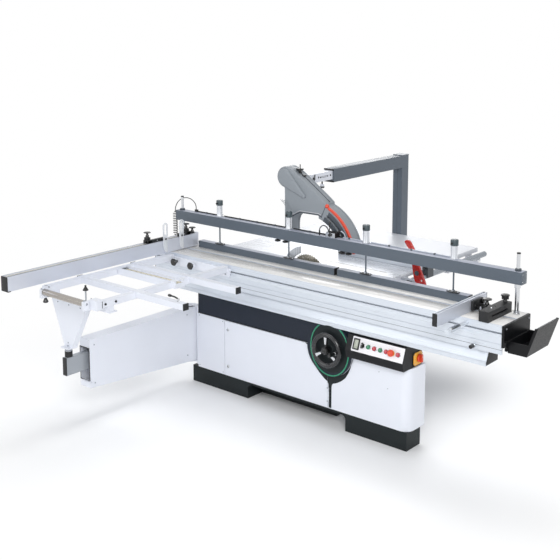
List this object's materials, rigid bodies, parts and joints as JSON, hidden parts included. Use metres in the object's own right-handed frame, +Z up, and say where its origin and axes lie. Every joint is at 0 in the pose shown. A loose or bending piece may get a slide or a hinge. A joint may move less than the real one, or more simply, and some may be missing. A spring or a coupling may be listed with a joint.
{
  "type": "sliding table saw",
  "caption": "Sliding table saw with long sliding table, crosscut frame and swing arm, pneumatic pressure beam, tilting blade and overhead guard.",
  "frame": {"origin": "on the floor straight below the saw blade's centre", "axes": "+X against the feed, towards the operator's end; +Y away from the sliding table, towards the rear table; +Z up"},
  "size_m": [2.985, 2.98, 1.55],
  "materials": {
    "cabinet_white": "satin",
    "dark_grey": "satin",
    "slate": "satin",
    "table_white": "satin",
    "alu": "satin",
    "steel": "satin",
    "chrome": "polished",
    "iron": "matt",
    "black_plastic": "matt",
    "red_plastic": "gloss",
    "green_plastic": "gloss",
    "hose": "matt",
    "hood_grey": "satin",
    "clear_white": "gloss"
  },
  "bodies": {
    "base": {"plinth": "dark_grey", "front_housing": "cabinet_white", "fascia_band": "dark_grey", "rear_cabinet": "cabinet_white", "main_table": "table_white", "extension_tables": "table_white", "fixed_rail": "alu", "guide_bar": "chrome", "guard_post": "slate", "control_box": "dark_grey", "push_stick": "red_plastic"},
    "door": {"left_door": "cabinet_white"},
    "handwheel": {"handwheel": "black_plastic"},
    "crank": {"crank_handle": "black_plastic"},
    "tilt_unit": {"tilt_frame": "iron"},
    "lift_unit": {"lift_carriage": "iron", "main_motor": "slate", "riving_knife": "steel", "drive_belt": "hose"},
    "arbor": {"main_arbor": "steel", "saw_blade": "steel"},
    "motor_shaft": {"motor_pulley": "iron"},
    "scoring_arbor": {"scoring_blade": "steel"},
    "sliding_table": {"sliding_table": "alu", "end_tray": "black_plastic", "crosscut_frame": "cabinet_white", "support_post": "cabinet_white", "beam_posts": "chrome"},
    "edging_shoe": {"edging_shoe": "black_plastic"},
    "mitre_base": {"mitre_base": "steel"},
    "mitre_fence": {"mitre_fence": "alu"},
    "roller_carriage": {"roller_carriage": "iron"},
    "index_plunger": {"index_plunger": "black_plastic"},
    "end_roller": {"end_roller": "chrome"},
    "arm_tube": {"arm_tube": "cabinet_white"},
    "swing_arm": {"swing_arm": "cabinet_white"},
    "crosscut_fence": {"crosscut_fence": "alu"},
    "stop_1": {"stop_block_1": "alu"},
    "stop_2": {"stop_block_2": "alu"},
    "flip_1": {"flip_stop_1": "clear_white"},
    "flip_2": {"flip_stop_2": "clear_white"},
    "pressure_beam": {"pressure_beam": "slate", "air_cylinders": "alu", "air_line": "hose", "curly_hose": "hose"},
    "press_bar_1": {"press_bar_1": "slate"},
    "press_bar_2": {"press_bar_2": "slate"},
    "valve_lever": {"valve_lever": "black_plastic"},
    "hood_arm": {"hood_arm": "cabinet_white"},
    "hood": {"hood": "hood_grey"},
    "selector": {"selector_switch": "black_plastic"},
    "green_1": {"green_button_1": "green_plastic"},
    "red_1": {"red_button_1": "red_plastic"},
    "green_2": {"green_button_2": "green_plastic"},
    "red_2": {"red_button_2": "red_plastic"},
    "e_stop": {"emergency_stop": "red_plastic"},
    "red_3": {"red_button_3": "red_plastic"},
    "main_switch": {"main_switch": "red_plastic"},
    "rip_head": {"rip_fence_head": "steel"},
    "rip_beam": {"rip_fence_beam": "alu"}
  },
  "joints": [
    {"name": "table_slide", "type": "slide", "parent": "base", "child": "sliding_table", "axis": [1, 0, 0], "range_m": [-0.7, 0.7]},
    {"name": "carriage_slide", "type": "slide", "parent": "base", "child": "roller_carriage", "axis": [1, 0, 0], "range_m": [-0.36, 0.36]},
    {"name": "arm_swing", "type": "hinge", "parent": "base", "child": "swing_arm", "pos_m": [-0.81, -0.3, 0.35], "axis": [0, 0, 1], "range_deg": [-36, 36]},
    {"name": "arm_tube_turn", "type": "hinge", "parent": "sliding_table", "child": "arm_tube", "pos_m": [-0.81, -1.35, 0.46], "axis": [0, 0, 1], "range_deg": [-36, 36]},
    {"name": "index_pull", "type": "slide", "parent": "sliding_table", "child": "index_plunger", "axis": [0, -1, 0], "range_m": [0, 0.012], "stiffness_N_per_m": 600},
    {"name": "fence_turn", "type": "hinge", "parent": "sliding_table", "child": "crosscut_fence", "pos_m": [-1, -0.085, 0.95], "axis": [0, 0, 1], "range_deg": [-45, 45]},
    {"name": "stop_1_slide", "type": "slide", "parent": "crosscut_fence", "child": "stop_1", "axis": [0, 1, 0], "range_m": [-1, 0.02]},
    {"name": "stop_2_slide", "type": "slide", "parent": "crosscut_fence", "child": "stop_2", "axis": [0, 1, 0], "range_m": [-0.06, 0.02]},
    {"name": "flip_1_turn", "type": "hinge", "parent": "stop_1", "child": "flip_1", "pos_m": [-0.96, -0.386, 1.007], "axis": [1, 0, 0], "range_deg": [0, 80]},
    {"name": "flip_2_turn", "type": "hinge", "parent": "stop_2", "child": "flip_2", "pos_m": [-0.96, -0.231, 1.007], "axis": [1, 0, 0], "range_deg": [0, 50]},
    {"name": "end_roller_spin", "type": "hinge", "parent": "sliding_table", "child": "end_roller", "pos_m": [-0.687, -1.46, 0.878], "axis": [1, 0, 0], "continuous": true},
    {"name": "shoe_slide", "type": "slide", "parent": "sliding_table", "child": "edging_shoe", "axis": [1, 0, 0], "range_m": [-0.006, 0.018]},
    {"name": "mitre_slide", "type": "slide", "parent": "sliding_table", "child": "mitre_base", "axis": [1, 0, 0], "range_m": [-0.015, 0.006]},
    {"name": "mitre_turn", "type": "hinge", "parent": "mitre_base", "child": "mitre_fence", "pos_m": [1.39, -0.133, 0.92], "axis": [0, 0, 1], "range_deg": [-45, 30]},
    {"name": "beam_height", "type": "slide", "parent": "sliding_table", "child": "pressure_beam", "axis": [0, 0, 1], "range_m": [0, 0.08]},
    {"name": "bar_1_lift", "type": "slide", "parent": "pressure_beam", "child": "press_bar_1", "axis": [0, 0, 1], "range_m": [0, 0.07]},
    {"name": "bar_2_lift", "type": "slide", "parent": "pressure_beam", "child": "press_bar_2", "axis": [0, 0, 1], "range_m": [0, 0.07]},
    {"name": "valve_turn", "type": "hinge", "parent": "pressure_beam", "child": "valve_lever", "pos_m": [0.261, -0.111, 1.165], "axis": [0, 1, 0], "range_deg": [-30, 30]},
    {"name": "hood_reach", "type": "slide", "parent": "base", "child": "hood_arm", "axis": [0, 1, 0], "range_m": [0, 0.2]},
    {"name": "hood_tilt", "type": "hinge", "parent": "hood_arm", "child": "hood", "pos_m": [-0.095, 0.08, 1.46], "axis": [0, 1, 0], "range_deg": [-18, 0]},
    {"name": "door_turn", "type": "hinge", "parent": "base", "child": "door", "pos_m": [0.401, -0.305, 0.3], "axis": [0, 0, 1], "range_deg": [0, 90]},
    {"name": "wheel_turn", "type": "hinge", "parent": "base", "child": "handwheel", "pos_m": [0.42, -0.34, 0.505], "axis": [0, 1, 0], "range_deg": [-3600, 0]},
    {"name": "crank_spin", "type": "hinge", "parent": "handwheel", "child": "crank", "pos_m": [0.499, -0.38, 0.505], "axis": [0, 1, 0], "continuous": true},
    {"name": "blade_tilt", "type": "hinge", "parent": "base", "child": "tilt_unit", "pos_m": [0, 0, 0.9], "axis": [-1, 0, 0], "range_deg": [0, 45]},
    {"name": "blade_lift", "type": "slide", "parent": "tilt_unit", "child": "lift_unit", "axis": [0, 0, 1], "range_m": [-0.1, 0]},
    {"name": "arbor_spin", "type": "hinge", "parent": "lift_unit", "child": "arbor", "pos_m": [0, 0.08, 0.833], "axis": [0, 1, 0], "continuous": true},
    {"name": "motor_spin", "type": "hinge", "parent": "lift_unit", "child": "motor_shaft", "pos_m": [-0.16, 0.2, 0.67], "axis": [0, 1, 0], "continuous": true},
    {"name": "scoring_spin", "type": "hinge", "parent": "lift_unit", "child": "scoring_arbor", "pos_m": [0.225, 0.06, 0.842], "axis": [0, 1, 0], "continuous": true},
    {"name": "rip_head_slide", "type": "slide", "parent": "base", "child": "rip_head", "axis": [0, 1, 0], "range_m": [-0.12, 0.7]},
    {"name": "rip_beam_slide", "type": "slide", "parent": "rip_head", "child": "rip_beam", "axis": [1, 0, 0], "range_m": [-0.09, 0.25]},
    {"name": "selector_turn", "type": "hinge", "parent": "base", "child": "selector", "pos_m": [0.695, -0.344, 0.5965], "axis": [0, -0.9434, 0.3317], "range_deg": [-45, 45]},
    {"name": "green_1_press", "type": "slide", "parent": "base", "child": "green_1", "axis": [0, 0.9434, -0.3317], "range_m": [0, 0.0035], "stiffness_N_per_m": 900},
    {"name": "red_1_press", "type": "slide", "parent": "base", "child": "red_1", "axis": [0, 0.9434, -0.3317], "range_m": [0, 0.0035], "stiffness_N_per_m": 900},
    {"name": "green_2_press", "type": "slide", "parent": "base", "child": "green_2", "axis": [0, 0.9434, -0.3317], "range_m": [0, 0.0035], "stiffness_N_per_m": 900},
    {"name": "red_2_press", "type": "slide", "parent": "base", "child": "red_2", "axis": [0, 0.9434, -0.3317], "range_m": [0, 0.0035], "stiffness_N_per_m": 900},
    {"name": "red_3_press", "type": "slide", "parent": "base", "child": "red_3", "axis": [0, 0.9434, -0.3317], "range_m": [0, 0.0035], "stiffness_N_per_m": 900},
    {"name": "e_stop_press", "type": "slide", "parent": "base", "child": "e_stop", "axis": [0, 0.9434, -0.3317], "range_m": [0, 0.006]},
    {"name": "main_switch_turn", "type": "hinge", "parent": "base", "child": "main_switch", "pos_m": [0.985, -0.19, 0.549], "axis": [1, 0, 0], "range_deg": [0, 90]}
  ],
  "couplings": [
    {"joint": "carriage_slide", "follows": "table_slide", "ratio": 0.5},
    {"joint": "arm_swing", "follows": "table_slide", "rad_per_m": 0.861},
    {"joint": "arm_tube_turn", "follows": "table_slide", "rad_per_m": 0.861},
    {"joint": "wheel_turn", "follows": "blade_lift", "rad_per_m": 628.32},
    {"joint": "motor_spin", "follows": "arbor_spin", "ratio": 0.66667}
  ]
}
